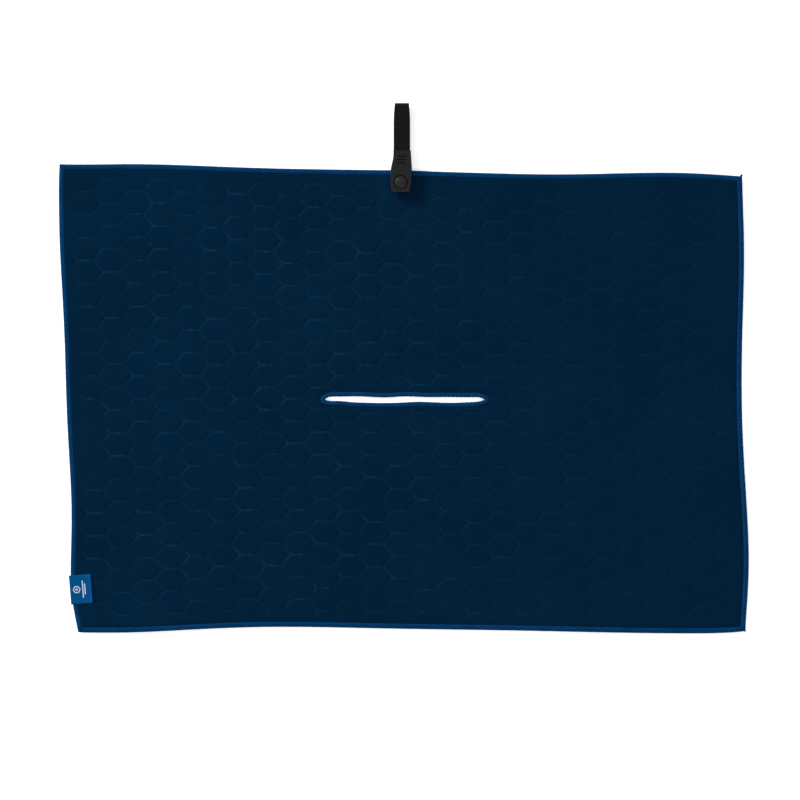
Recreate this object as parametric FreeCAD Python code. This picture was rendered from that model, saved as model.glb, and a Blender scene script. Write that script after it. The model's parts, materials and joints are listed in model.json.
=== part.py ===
import FreeCAD, Part
import math
import os

# Golf towel: a hex-embossed microfibre cloth with an overlocked edge and a centre slot,
# a wrap-round woven label, and a webbing loop that closes with a moulded tab and a snap.
#
# The towel lies flat. X runs along its long side, Y towards the loop, +Z up from the surface
# it lies on. Lengths are millimetres. Everything is modelled about the middle of the slot, and
# moved at the end so that the origin is under the middle of the whole object.

Vector = FreeCAD.Vector
UP = Vector(0, 0, 1)

# --- Cloth: a nominal 30 by 20 inch towel, lying with slightly wavy sides -------------------
CLOTH_T = 2.1  # lofty microfibre
HEM_T = 2.4  # overlock thread wrapped round the raw edge
HEM_W = 5.8  # stitch width of the overlock
CORE_INSET = 1.0  # the raw edge stops this far inside the hem
CORE_LOW, CORE_HIGH = 0.7, 1.5  # the raw edge, squeezed inside the hem

# Each side of the towel as laid: the points that its gentle waves need, corner to corner.
TOP_LEFT, TOP_RIGHT = (-382.4, 262.0), (378.0, 248.6)
BOTTOM_LEFT, BOTTOM_RIGHT = (-361.8, -259.4), (381.3, -258.1)
TOP_SIDE = [TOP_LEFT, (-338.0, 262.5), (-254.0, 261.8), (-176.0, 258.6), (-98.0, 256.7),
            (0.0, 255.7), (60.0, 253.4), (195.0, 251.4), (293.0, 252.9), TOP_RIGHT]
BOTTOM_SIDE = [BOTTOM_LEFT, (-326.0, -259.9), (-204.0, -254.8), (-98.0, -253.5), (-20.0, -255.4),
               (58.0, -256.0), (155.0, -258.3), (215.0, -258.9), (300.0, -260.8), BOTTOM_RIGHT]
LEFT_SIDE = [TOP_LEFT, (-383.5, 222.4), (-381.1, 144.4), (-377.6, 75.0), (-375.5, 0.0),
             (-370.0, -102.0), (-369.1, -134.0), (-370.3, -168.0), (-369.2, -215.0), BOTTOM_LEFT]
RIGHT_SIDE = [TOP_RIGHT, (379.5, 200.0), (380.2, 158.0), (377.9, 47.0), (378.1, 0.0),
              (382.2, -107.0), (385.4, -162.0), (384.1, -218.0), BOTTOM_RIGHT]

# --- Centre slot: a slit along the fold line, held a little open ----------------------------
SLOT_LEFT, SLOT_RIGHT = (-87.0, 0.0), (91.0, 0.0)
SLOT_UPPER_LIP = [SLOT_LEFT, (-84.5, 2.1), (-77.0, 3.3), (-44.0, 3.4), (-19.0, 2.4), (2.0, 3.5),
                  (24.0, 2.8), (50.0, 2.8), (78.0, 2.6), (87.5, 1.8), SLOT_RIGHT]
SLOT_LOWER_LIP = [SLOT_LEFT, (-84.0, -1.1), (-74.0, -1.4), (-60.0, -2.5), (-44.0, -3.3),
                  (-4.0, -3.4), (18.0, -2.4), (38.0, -3.1), (62.0, -3.4), (78.0, -2.6),
                  (87.5, -1.4), SLOT_RIGHT]
SLOT_HEM_W = 4.8
SLOT_CORE_INSET = 1.0

# --- Fold: the towel doubles over along the slot --------------------------------------------
FOLD_Z = HEM_T + 0.5

# --- Label: a woven strip wrapped round the left edge ---------------------------------------
LABEL_MIDDLE = (-358.8, -211.3)
LABEL_W, LABEL_H, LABEL_T = 24.5, 32.3, 0.3
LABEL_TURN = 4.6  # degrees anticlockwise
LABEL_FOLD_R = 1.1
LABEL_STITCH = (2.1, 0.45, 0.2)  # length, width, height of one stitch
LABEL_STITCH_PITCH = 3.1
LABEL_STITCH_INSET = 1.6

# --- Strap: webbing loop, sewn behind the cloth and snapped in front of it -------------------
STRAP_X = -1.2
WEB_W, WEB_T = 18.2, 1.2
CROWN_REACH_Y = 330.2  # the far end of the loop
REAR_END_Y = 229.8  # the cut end sewn behind the cloth
REAR_Z = 0.6  # underside of the rear leg, level with the top of the post's flange
FRONT_Z = 7.0  # underside of the front leg
CROWN_R = (FRONT_Z - REAR_Z) / 2  # of the webbing's middle
CROWN_Y = CROWN_REACH_Y - CROWN_R - WEB_T / 2
CROWN_Z = (REAR_Z + FRONT_Z + WEB_T) / 2
FRONT_END_Y = 233.4  # the cut end inside the tab

# The cloth rises over the rear leg on a low mound with sloping sides.
MOUND_RISE = REAR_Z + WEB_T
MOUND_TOP_HALF, MOUND_FOOT_HALF = 10.5, 27.0
MOUND_TOP_Y, MOUND_FOOT_Y = 227.0, 209.0
MOUND_END_Y = 275.0  # past the edge of the cloth

BARTACK_W, BARTACK_L, BARTACK_T = 14.0, 2.4, 0.3
BARTACK_Y = 251.9

# --- Moulded tab on the front leg -----------------------------------------------------------
TAB_TOP_Y, TAB_BOTTOM_Y = 276.9, 230.5
# Each side of the tab, from its top to its bottom. It hangs a little to the left.
TAB_LEFT_SIDE = [(-10.7, TAB_TOP_Y), (-11.0, 269.0), (-12.2, 262.6), (-13.5, 256.4), (-13.8, 244.0),
                 (-13.0, TAB_BOTTOM_Y)]
TAB_RIGHT_SIDE = [(8.8, TAB_TOP_Y), (9.2, 269.0), (9.6, 262.6), (9.9, 256.4), (9.4, 244.0),
                  (7.7, TAB_BOTTOM_Y)]
TAB_TOP_Z = 10.2
TAB_CORNER_R = 2.4
TAB_EDGE_R = 0.7
TAB_GRIP_X, TAB_GRIP_Y = -1.4, [270.2, 266.6, 263.0]  # three grooves to grip the tab by
TAB_GRIP_W, TAB_GRIP_H, TAB_GRIP_DEEP = 9.8, 1.6, 0.9
TAB_SEAT_R, TAB_SEAT_DEEP = 8.1, 1.5  # round seat for the snap's cap

# --- Snap -----------------------------------------------------------------------------------
SNAP_X, SNAP_Y = -2.6, 241.6
CAP_R, CAP_RISE = 6.9, 2.2
BARREL_R, BARREL_HOLE_R = 1.5, 1.5
FLANGE_R = 6.0
STUD_NECK_R, STUD_BULB_R = 2.1, 2.9
SOCKET_R, SOCKET_MOUTH_R, SOCKET_CAVITY_R = 6.2, 3.05, 3.4
SPRING_R, SPRING_WIRE_R = 2.75, 0.38
SNAP_GAP = 0.3  # between the closed socket and the stud's flange

CLOTH_TOP_AT_SNAP = MOUND_RISE + CLOTH_T


# --- Curves and plates ----------------------------------------------------------------------
def flat(point, z=0.0):
    return Vector(point[0], point[1], z)


def spline(points):
    """A smooth curve through the points."""
    curve = Part.BSplineCurve()
    curve.interpolate([flat(p) for p in points])
    return curve


def inset(points, amount, first, last):
    """The same side moved into the cloth by amount. Its ends are given, so that sides meet."""
    curve = spline(points)
    moved = []
    for point in points[1:-1]:
        along = curve.tangent(curve.parameter(flat(point)))[0]
        inward = Vector(-along.y, along.x, 0)
        if inward.dot(flat(point)) > 0:
            inward = -inward
        if point[1] == 0.0:  # the fold line stays straight across the hem
            inward = Vector(-1 if point[0] > 0 else 1, 0, 0)
        place = flat(point) + inward * amount
        moved.append((place.x, place.y))
    return [first, *moved, last]


def corner(point, amount):
    """A corner of the towel moved inwards along both sides."""
    x, y = point
    return (x - amount if x > 0 else x + amount, y - amount if y > 0 else y + amount)


def piece_of(points, start, end):
    """The edge of a side's curve between two of its own points."""
    curve = spline(points)
    low, high = sorted((curve.parameter(flat(start)), curve.parameter(flat(end))))
    return curve.toShape(low, high)


def line(a, b):
    return Part.LineSegment(flat(a), flat(b)).toShape()


def face_of(edges):
    return Part.Face(Part.Wire(Part.__sortEdges__(edges)))


def plate(face, low, high):
    solid = face.extrude(UP * (high - low))
    solid.translate(UP * low)
    return solid


def fold_point(points):
    return next(p for p in points if p[1] == 0.0)


def outline(amount):
    """The four sides of the cloth, moved inwards by amount, by name."""
    corners = {n: corner(p, amount) for n, p in
               (("tl", TOP_LEFT), ("tr", TOP_RIGHT), ("bl", BOTTOM_LEFT), ("br", BOTTOM_RIGHT))}
    if not amount:
        return {"top": TOP_SIDE, "bottom": BOTTOM_SIDE, "left": LEFT_SIDE, "right": RIGHT_SIDE}
    return {"top": inset(TOP_SIDE, amount, corners["tl"], corners["tr"]),
            "bottom": inset(BOTTOM_SIDE, amount, corners["bl"], corners["br"]),
            "left": inset(LEFT_SIDE, amount, corners["tl"], corners["bl"]),
            "right": inset(RIGHT_SIDE, amount, corners["tr"], corners["br"])}


def lip_edges(lip, grown):
    """One lip of the slot, moved out into the cloth by grown, with a round turn at each tip."""
    way = 1 if lip is SLOT_UPPER_LIP else -1
    edges = [spline([(x, y + way * grown) for x, y in lip]).toShape()]
    slant = grown * math.sqrt(0.5)
    for tip, out in ((lip[0][0], -1), (lip[-1][0], 1)):
        if grown:
            edges.append(Part.Arc(flat((tip + out * grown, 0)), flat((tip + out * slant, way * slant)),
                                  flat((tip, way * grown))).toShape())
    return edges


def half_face(amount, grown, side, lip):
    """Half of the cloth, from a moved-in side of the towel to the fold line and a slot lip."""
    sides = outline(amount)
    edges = [spline(sides[side]).toShape(), *lip_edges(lip, grown)]
    for name, slot_end in (("left", SLOT_LEFT[0] - grown), ("right", SLOT_RIGHT[0] + grown)):
        points = sides[name]
        fold = fold_point(points)
        far = points[0] if side == "top" else points[-1]
        edges += [piece_of(points, far, fold), line(fold, (slot_end, 0.0))]
    return face_of(edges)


def strip_face(name, half, outer, inner):
    """The strip of one side between two insets. On a side that folds, half says which half."""
    a, b = outline(outer)[name], outline(inner)[name]
    first = -1 if half == "bottom" else 0
    far_a, far_b = a[first], b[first]
    near_a, near_b = (a[-1], b[-1]) if half is None else (fold_point(a), fold_point(b))
    return face_of([piece_of(a, far_a, near_a), line(near_a, near_b),
                    piece_of(b, near_b, far_b), line(far_b, far_a)])


# --- Layers that rise over the strap ----------------------------------------------------------
def mound(z):
    """The mound's solid, with its foot at height z."""
    def ring(half, y, height):
        corners = [Vector(STRAP_X - half, y, height), Vector(STRAP_X + half, y, height),
                   Vector(STRAP_X + half, MOUND_END_Y, height),
                   Vector(STRAP_X - half, MOUND_END_Y, height)]
        return Part.makePolygon([*corners, corners[0]])

    return Part.makeLoft([ring(MOUND_FOOT_HALF, MOUND_FOOT_Y, z),
                          ring(MOUND_TOP_HALF, MOUND_TOP_Y, z + MOUND_RISE)], True, True)


def draped(face, low, high):
    """A layer of cloth from low to high that follows the mound."""
    raised = plate(face, low, high + MOUND_RISE + 1).common(mound(high))
    return plate(face, low, high).fuse(raised).cut(mound(low)).removeSplitter()


# --- Cloth and hems ---------------------------------------------------------------------------
def cloth_half(side, lip):
    layer = draped if side == "top" else plate
    panel = layer(half_face(HEM_W, SLOT_HEM_W, side, lip), 0, CLOTH_T)
    core = layer(half_face(CORE_INSET, SLOT_CORE_INSET, side, lip), CORE_LOW, CORE_HIGH)
    return panel.fuse(core).removeSplitter()


def hem(name, half):
    layer = draped if name == "top" else plate
    wrap = layer(strip_face(name, half, 0, HEM_W), 0, HEM_T)
    return wrap.cut(layer(strip_face(name, half, CORE_INSET, HEM_W), CORE_LOW, CORE_HIGH))


def slot_strip(lip, inner, outer):
    ends = [line((SLOT_LEFT[0] - inner, 0), (SLOT_LEFT[0] - outer, 0)),
            line((SLOT_RIGHT[0] + inner, 0), (SLOT_RIGHT[0] + outer, 0))]
    return face_of([*lip_edges(lip, inner), *lip_edges(lip, outer), *ends])


def slot_hem(lip):
    wrap = plate(slot_strip(lip, 0, SLOT_HEM_W), 0, HEM_T)
    return wrap.cut(plate(slot_strip(lip, SLOT_CORE_INSET, SLOT_HEM_W), CORE_LOW, CORE_HIGH))


# --- Label --------------------------------------------------------------------------------------
def on_label(shape):
    """Turns and moves a shape made about the label's own middle."""
    shape.rotate(Vector(0, 0, 0), UP, LABEL_TURN)
    shape.translate(flat(LABEL_MIDDLE))
    return shape


def label_recess():
    """A block over the label's footprint, as deep as the layer of it that goes under the cloth."""
    return on_label(Part.makeBox(LABEL_W, LABEL_H, LABEL_T,
                                 Vector(-LABEL_W / 2, -LABEL_H / 2, 0)))


def woven_label():
    wrap = Part.makeBox(LABEL_W, LABEL_H, HEM_T + LABEL_T,
                        Vector(-LABEL_W / 2, -LABEL_H / 2, 0))
    folded = [e for e in wrap.Edges if abs(e.CenterOfMass.x + LABEL_W / 2) < 1e-6
              and abs(e.CenterOfMass.y) < 1e-6]
    pocket = Part.makeBox(LABEL_W, LABEL_H, HEM_T - LABEL_T,
                          Vector(LABEL_T - LABEL_W / 2, -LABEL_H / 2, LABEL_T))
    folded_inside = [e for e in pocket.Edges
                     if abs(e.CenterOfMass.x + LABEL_W / 2 - LABEL_T) < 1e-6
                     and abs(e.CenterOfMass.y) < 1e-6]
    wrap = wrap.makeFillet(LABEL_FOLD_R, folded)
    return on_label(wrap.cut(pocket.makeFillet(LABEL_FOLD_R - LABEL_T, folded_inside)))


def label_stitches():
    """A row of stitches down the label's open end, on its face."""
    length, width, height = LABEL_STITCH
    count = int((LABEL_H - 2) // LABEL_STITCH_PITCH)
    x = LABEL_W / 2 - LABEL_STITCH_INSET
    stitches = []
    for i in range(count):
        y = (i - (count - 1) / 2) * LABEL_STITCH_PITCH
        bar = Part.makeBox(width, length, height,
                           Vector(x - width / 2, y - length / 2, HEM_T + LABEL_T))
        ends = [e for e in bar.Edges if abs(e.CenterOfMass.z - HEM_T - LABEL_T - height) < 1e-6]
        stitches.append(on_label(bar.makeFillet(height * 0.45, ends)))
    return Part.makeCompound(stitches)


# --- Strap ----------------------------------------------------------------------------------------
def hole(radius, low, high):
    return Part.makeCylinder(radius, high - low, Vector(SNAP_X, SNAP_Y, low))


def web_run(low_y, high_y, z):
    return Part.makeBox(WEB_W, high_y - low_y, WEB_T, Vector(STRAP_X - WEB_W / 2, low_y, z))


def rear_leg():
    return web_run(REAR_END_Y, CROWN_Y, REAR_Z).cut(hole(BARREL_HOLE_R, 0, 10))


def front_leg():
    return web_run(FRONT_END_Y, CROWN_Y, FRONT_Z).cut(hole(BARREL_HOLE_R, 0, 10))


def crown():
    """The half turn of webbing at the loop's far end."""
    middle = Vector(STRAP_X - WEB_W / 2, CROWN_Y, CROWN_Z)
    along = Vector(1, 0, 0)
    outer = Part.makeCylinder(CROWN_R + WEB_T / 2, WEB_W, middle, along)
    inner = Part.makeCylinder(CROWN_R - WEB_T / 2, WEB_W, middle, along)
    reach = 2 * CROWN_R
    far_half = Part.makeBox(WEB_W, reach, 2 * reach,
                            Vector(STRAP_X - WEB_W / 2, CROWN_Y, CROWN_Z - reach))
    return outer.cut(inner).common(far_half)


def bartack():
    """Dense bars of thread that hold the rear leg: one on the hem's face, one under the webbing."""
    bars = []
    for low in (MOUND_RISE + HEM_T, REAR_Z - BARTACK_T):
        bar = Part.makeBox(BARTACK_W, BARTACK_L, BARTACK_T,
                           Vector(STRAP_X - BARTACK_W / 2, BARTACK_Y - BARTACK_L / 2, low))
        upright = [e for e in bar.Edges if abs(e.BoundBox.ZLength - BARTACK_T) < 1e-6]
        bars.append(bar.makeFillet(BARTACK_L * 0.45, upright))
    return Part.makeCompound(bars)


# --- Tab -------------------------------------------------------------------------------------------
def tab_face():
    left, right = TAB_LEFT_SIDE, TAB_RIGHT_SIDE
    return face_of([spline(right).toShape(), spline(left).toShape(),
                    line(left[0], right[0]), line(left[-1], right[-1])])


def grip_groove(y):
    """A round-ended groove across the tab's face."""
    low = TAB_TOP_Z - TAB_GRIP_DEEP
    r = TAB_GRIP_H / 2
    half = TAB_GRIP_W / 2 - r
    bar = Part.makeBox(2 * half, TAB_GRIP_H, 2, Vector(TAB_GRIP_X - half, y - r, low))
    for way in (-1, 1):
        bar = bar.fuse(Part.makeCylinder(r, 2, Vector(TAB_GRIP_X + way * half, y, low)))
    return bar.removeSplitter()


def tab():
    body = plate(tab_face(), FRONT_Z, TAB_TOP_Z)
    corners = [e for e in body.Edges if abs(e.BoundBox.ZLength - (TAB_TOP_Z - FRONT_Z)) < 1e-6
               and e.CenterOfMass.y < TAB_BOTTOM_Y + 1]
    body = body.makeFillet(TAB_CORNER_R, corners)
    rim = [e for e in body.Edges if e.BoundBox.ZMin > TAB_TOP_Z - 1e-3]
    body = body.makeFillet(TAB_EDGE_R, rim)
    body = body.cut(web_run(FRONT_END_Y, TAB_TOP_Y + 5, FRONT_Z))
    body = body.cut(hole(TAB_SEAT_R, TAB_TOP_Z - TAB_SEAT_DEEP, TAB_TOP_Z + 1))
    body = body.cut(hole(BARREL_HOLE_R, FRONT_Z, TAB_TOP_Z))
    for y in TAB_GRIP_Y:
        body = body.cut(grip_groove(y))
    return body


# --- Snap ------------------------------------------------------------------------------------------
def turned(profile):
    """A solid of revolution about the snap's axis. The profile is (radius, height) pairs, or arcs as
    three such pairs in a list."""
    edges, start = [], None
    for step in [*profile, profile[0] if not isinstance(profile[0], list) else profile[0][0]]:
        arc = isinstance(step, list)
        points = [Vector(SNAP_X + r, SNAP_Y, z) for r, z in (step if arc else [step])]
        if start is not None and (start - points[0]).Length > 1e-7:
            edges.append(Part.LineSegment(start, points[0]).toShape())
        if arc:
            edges.append(Part.Arc(*points).toShape())
        start = points[-1]
    face = Part.Face(Part.Wire(edges))
    return face.revolve(Vector(SNAP_X, SNAP_Y, 0), UP, 360)


def dome(reach, low, top):
    """The arc of a shallow ball-shaped dome, from its rim up to the axis."""
    rise = top - low
    ball = (reach ** 2 + rise ** 2) / (2 * rise)
    half = math.asin(reach / ball) / 2
    return [(reach, low), (ball * math.sin(half), top - ball * (1 - math.cos(half))), (0, top)]


def cap():
    """Domed cap with a rolled rim, and the barrel that goes down into the socket."""
    seat = TAB_TOP_Z - TAB_SEAT_DEEP
    rim = seat + 0.75
    top = seat + CAP_RISE
    return turned([(0, SOCKET_TOP - 0.5), (BARREL_R, SOCKET_TOP - 0.5), (BARREL_R, seat),
                   (CAP_R - 0.4, seat), [(CAP_R - 0.4, seat), (CAP_R, seat + 0.4), (CAP_R - 0.4, rim)],
                   dome(CAP_R - 0.7, rim, top)])


SOCKET_LOW = CLOTH_TOP_AT_SNAP + 0.5 + SNAP_GAP
SOCKET_TOP = FRONT_Z


def socket():
    """Ring that grips the stud: a mouth, a wider cavity for the spring, and a flange on the webbing."""
    low, top = SOCKET_LOW, SOCKET_TOP
    roof = top - 0.5
    return turned([(SOCKET_MOUTH_R, low), (SOCKET_R - 1.4, low), (SOCKET_R - 1.1, low + 0.3),
                   (SOCKET_R - 1.1, roof), (SOCKET_R, roof), (SOCKET_R, top), (BARREL_R, top),
                   (BARREL_R, roof), (SOCKET_CAVITY_R, roof - 0.05), (SOCKET_CAVITY_R, low + 0.3),
                   (SOCKET_MOUTH_R, low + 0.3)])


def spring():
    """Ring of spring wire inside the socket, under the stud's bulb."""
    return Part.makeTorus(SPRING_R, SPRING_WIRE_R,
                          Vector(SNAP_X, SNAP_Y, SOCKET_LOW + 0.3 + SPRING_WIRE_R))


def stud():
    """Flange on the cloth, neck and bulb, hollow for the post's barrel."""
    low = CLOTH_TOP_AT_SNAP
    flange = low + 0.5
    neck = SOCKET_LOW + 0.3 + 2 * SPRING_WIRE_R
    top = SOCKET_TOP - 0.65
    bead = (top - neck) / 2
    return turned([(BARREL_R, low), (FLANGE_R - 0.2, low), (FLANGE_R, low + 0.2),
                   (FLANGE_R - 0.2, flange), (STUD_NECK_R, flange), (STUD_NECK_R, neck),
                   [(STUD_BULB_R - bead, neck), (STUD_BULB_R, neck + bead), (STUD_BULB_R - bead, top)],
                   (0, top), (0, top - 0.4), (BARREL_R, top - 0.4)])


def post():
    """Flange under the webbing, and the barrel that goes up through webbing and cloth into the stud."""
    top = SOCKET_TOP - 0.65 - 0.4
    return turned([(0, 0.15), (2.2, 0.15), (2.6, 0.0), (FLANGE_R - 0.4, 0.0),
                   [(FLANGE_R - 0.4, 0.0), (FLANGE_R - 0.1, REAR_Z / 2), (FLANGE_R - 0.4, REAR_Z)],
                   (BARREL_R, REAR_Z), (BARREL_R, top), (0, top)])


# --- Assembly ----------------------------------------------------------------------------------------
def assembly():
    recess = label_recess()
    nodes = {
        "cloth_upper_half": cloth_half("top", SLOT_UPPER_LIP).cut(hole(BARREL_HOLE_R, 0, 10)),
        "cloth_lower_half": cloth_half("bottom", SLOT_LOWER_LIP).cut(recess),
        "overlock_top": hem("top", None),
        "overlock_left_upper": hem("left", "top"),
        "overlock_right_upper": hem("right", "top"),
        "overlock_bottom": hem("bottom", None),
        "overlock_left_lower": hem("left", "bottom").cut(recess),
        "overlock_right_lower": hem("right", "bottom"),
        "slot_overlock_upper": slot_hem(SLOT_UPPER_LIP),
        "slot_overlock_lower": slot_hem(SLOT_LOWER_LIP),
        "woven_label": woven_label(),
        "label_stitches": label_stitches(),
        "strap_rear_leg": rear_leg(),
        "strap_crown": crown(),
        "strap_front_leg": front_leg(),
        "strap_bartack": bartack(),
        "moulded_tab": tab(),
        "snap_cap": cap(),
        "snap_socket": socket(),
        "snap_spring": spring(),
        "snap_stud": stud(),
        "snap_post": post(),
    }
    return nodes


def main():
    nodes = assembly()
    box = Part.makeCompound(list(nodes.values())).optimalBoundingBox()
    to_middle = Vector(-box.Center.x, -box.Center.y, -box.ZMin)
    os.makedirs("parts", exist_ok=True)
    for name, shape in nodes.items():
        shape.translate(to_middle)
        shape.exportStep(f"parts/{name}.step")
        print(f"{name}: {len(shape.Solids)} solids, valid {shape.isValid()}, {shape.Volume:.1f} mm3")


main()
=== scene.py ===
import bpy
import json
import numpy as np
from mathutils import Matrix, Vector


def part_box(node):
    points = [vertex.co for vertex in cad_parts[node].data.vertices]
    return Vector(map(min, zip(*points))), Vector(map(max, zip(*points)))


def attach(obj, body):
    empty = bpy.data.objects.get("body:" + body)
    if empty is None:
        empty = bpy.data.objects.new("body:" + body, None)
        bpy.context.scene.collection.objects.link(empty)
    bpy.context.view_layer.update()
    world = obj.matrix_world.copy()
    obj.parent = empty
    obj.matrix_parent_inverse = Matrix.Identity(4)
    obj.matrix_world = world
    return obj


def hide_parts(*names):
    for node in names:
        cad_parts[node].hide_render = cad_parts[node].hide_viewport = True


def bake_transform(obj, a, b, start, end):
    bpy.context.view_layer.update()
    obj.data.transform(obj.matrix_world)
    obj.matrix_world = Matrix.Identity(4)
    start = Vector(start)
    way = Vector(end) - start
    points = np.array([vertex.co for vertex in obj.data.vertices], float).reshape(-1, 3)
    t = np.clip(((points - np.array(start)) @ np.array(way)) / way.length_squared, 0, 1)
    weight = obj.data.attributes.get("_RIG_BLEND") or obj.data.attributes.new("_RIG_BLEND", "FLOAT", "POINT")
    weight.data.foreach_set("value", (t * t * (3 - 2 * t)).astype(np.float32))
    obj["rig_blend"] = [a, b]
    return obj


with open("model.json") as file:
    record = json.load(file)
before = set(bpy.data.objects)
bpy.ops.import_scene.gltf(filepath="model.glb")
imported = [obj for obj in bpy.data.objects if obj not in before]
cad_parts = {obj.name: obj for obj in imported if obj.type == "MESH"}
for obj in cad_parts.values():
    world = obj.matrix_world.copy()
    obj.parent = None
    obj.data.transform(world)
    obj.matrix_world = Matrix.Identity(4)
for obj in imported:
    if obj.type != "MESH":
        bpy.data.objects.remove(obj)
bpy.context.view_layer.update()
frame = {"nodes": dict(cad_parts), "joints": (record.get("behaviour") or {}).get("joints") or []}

import json
import math

import bmesh
import bpy
import numpy as np
from mathutils import Vector

# A golf towel laid flat, seen from straight above. Lengths are metres, written as so many MM.
# The outline, the slot, the strap and the label are read off the CAD nodes; the cloth, its
# overlocked edges, the webbing and the label are meshes that stand for those nodes.

MM = 0.001
RANDOM = np.random.default_rng(7)

JOINTS = {joint["name"]: Vector(joint["pos_m"]) for joint in frame["joints"]}
FOLD_Y = JOINTS["towel_fold"].y
UPPER, LOWER, FRONT = "towel_upper", "towel_lower", "strap_front"

# Reading the outline off the CAD
SIDE_DEGREE, SIDE_STATIONS = 9, 60
SIDE_MARGIN = 0.002  # share of a side that is left out at either end
LIP_STATIONS, LIP_SHARE = 60, 0.9999  # and the share of the slot's length that they cover
SLOT_DENSE = 600
TINY = 1e-9

# The cut of the cloth, flat
CLOTH_W, CLOTH_L = 765 * MM, 521 * MM
CLOTH_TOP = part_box("cloth_lower_half")[1].z
HEM_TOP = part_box("overlock_bottom")[1].z
HEM_W = 5.8 * MM
CORNER_R = 1.8 * MM
CUT_TUCK = 2.4 * MM  # how far inside the hem's outside the cloth's cut edge is
ROLL_ROWS = [2.6, 4.6, 7.0]  # rows of points for the roll into the hem, mm from the cut edge
ON_LINE = 0.02 * MM  # a point this close to a line is on it
WELD = 0.05 * MM
CUT_SNAP = 0.01 * MM

# The cloth's two faces
LOFT_SPREAD = 0.035 * MM  # the pile's unevenness
TOP_PRESSED, UNDER_PRESSED = 0.55 * MM, 0.75 * MM  # how far each face gives way under the stitches
UNDER_GAP = 0.12 * MM
UNDER_RELIEF = 0.5  # share of the relief that shows underneath
SWELL = 0.12 * MM  # beside the stitches
EDGE_SQUEEZE, SLOT_SQUEEZE = (4.2 * MM, 8.6 * MM), (3.6 * MM, 8.0 * MM)
EDGE_SWELL_AT, EDGE_SWELL_REACH = 10 * MM, 6 * MM
SLOT_SWELL_AT, SLOT_SWELL_REACH = 9.5 * MM, 5 * MM

# Embossed hexagons with flat tops
CELL_PITCH_X, CELL_PITCH_Y = 28.7 * MM, 25.5 * MM
CELL_FLAT = 17.15 * MM  # length of the top and bottom edges
CELL_PHASE = Vector((-211.2 * MM, 166.9 * MM))  # the middle of one cell's top edge
CELL_RINGS = [0.0, 0.55, 1.5, 4.2]  # how far inside the edge each ring of points is, mm
CELL_RELIEF = [-0.26, -0.22, -0.02, 0.03, 0.05]  # and its height, with the middle last, mm
CELL_SIDE_POINTS = 3
# How strongly the painted highlight on an embossed line shows, brighter on the edges that face the
# upper-left light: at the left and right ends of a flat edge, and along it
LINE_LEFT, LINE_RIGHT, LINE_FLAT = 0.8, 0.15, 1.0
LINE_HEM_NEAR, LINE_HEM_FAR = 8 * MM, 26 * MM  # the lines fade out towards the hem
RELIEF_LOST = 0.8  # share of the relief that is gone at the hem
LINE_FADE, LINE_FADE_FROM, LINE_FADE_OVER = 0.75, -130 * MM, 420 * MM  # the painted line highlight is weaker towards the right

# Fold
FOLD_ZONE = 3.2 * MM
FOLD_ROWS = [-3.2, -2.1, -1.0, 1.0, 2.1, 3.2, -7.5, -5.0, 5.0, 7.5]  # mm from the fold line

# Slot
SLOT_HALF = 3 * MM  # about half the slot's opening
SLIT_PAST_TIP = 1.0 * MM
LIP_TUCK = 1.2 * MM  # how far under the stitches the cloth of a lip reaches
LIP_LEAN = (2 * MM, 34 * MM)  # from the fold line: where the cloth moves with its lip, and where not
LIP_ENDS = -3 * MM  # the lips begin to close this far before a tip

# Overlock stitches
STITCH_PITCH = 3.0 * MM
STITCH_STEPS = 6
STITCH_SLANT = 0.55  # how far a stitch runs along the edge for each length across it
STITCH_PROUD = 0.55 * MM
STITCH_STRANDS = 3
RIDGE_ROUND, RIDGE_REST = 0.55, 0.6  # how full a stitch is, and the ridge that stands at the outline
BAND_LOWEST = 0.02 * MM  # no stitch goes below this
BAND_UNDER_Z, BAND_UNDER_UV = 1 * MM, 10  # the underside has its own part of the texture plane
CORNER_STEPS, TIP_STEPS = 6, 16
LEAST_R = 0.2 * MM

# Chain tails
TAIL_RINGS, TAIL_AROUND = 18, 8
TAIL_R_START, TAIL_TAPER = 1.5 * MM, 0.3 * MM
TAIL_THIN, TAIL_LUMP, TAIL_LUMPS = 0.85, 0.2, 9
TAIL_INWARD, TAIL_SWAY, TAIL_Z = 0.9 * MM, 0.4 * MM, 1.6 * MM
TAIL_TIP = 0.5  # share of the radius at either end
# how far a tail's colour is from the painted shade between stitches towards their crest colour
TAIL_RIDGE = 0.7

# Webbing
RIB_PITCH = 2.4 * MM
RIB_STEPS = 6
RIB_PROUD, SELVEDGE_WAVE = 0.26 * MM, 0.12 * MM
RIB_REST = 0.75  # the part of a rib's height that the webbing's own thickness counts
SELVEDGE = 0.95  # the selvedge starts at this share of the half width
TURN_NARROW, TURN_NARROW_REACH = 0.13, 12 * MM  # the webbing is pulled in where it turns
# The underside across the webbing, as shares of the half width and of the half thickness
WEB_UNDERSIDE = [(-1.0, -0.35), (-0.985, -0.8), (-0.9, -1), (-0.45, -1), (0, -1),
                 (0.45, -1), (0.9, -1), (0.985, -0.8), (1.0, -0.35)]

# Label
LABEL_W, LABEL_H, LABEL_TURN = 24.5 * MM, 32.3 * MM, math.radians(4.6)
LABEL_T = 0.3 * MM
LABEL_FOLD_R = 1.3 * MM
LABEL_UNDER_Z = 0.2 * MM
LABEL_UNDER_SHORT = 0.6 * MM  # the lower layer ends this far before the upper one
LABEL_ROWS = 25
LABEL_STOPS = (20, 12, 26)  # along the lower layer, round the fold, along the upper layer
LABEL_ON_HEM = 0.12 * MM
LABEL_SAG, LABEL_CURL = 0.25 * MM, 0.9 * MM  # behind the hem, and at the open end
CURL_MIDDLE = 0.55  # share of the curl in the middle of the open end

# Setting
FLOOR_GLOW = 0.38  # the floor is a light table
FLOOR_SIZE, FLOOR_Z = 8, -0.15 * MM
SKY = 0.62

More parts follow.
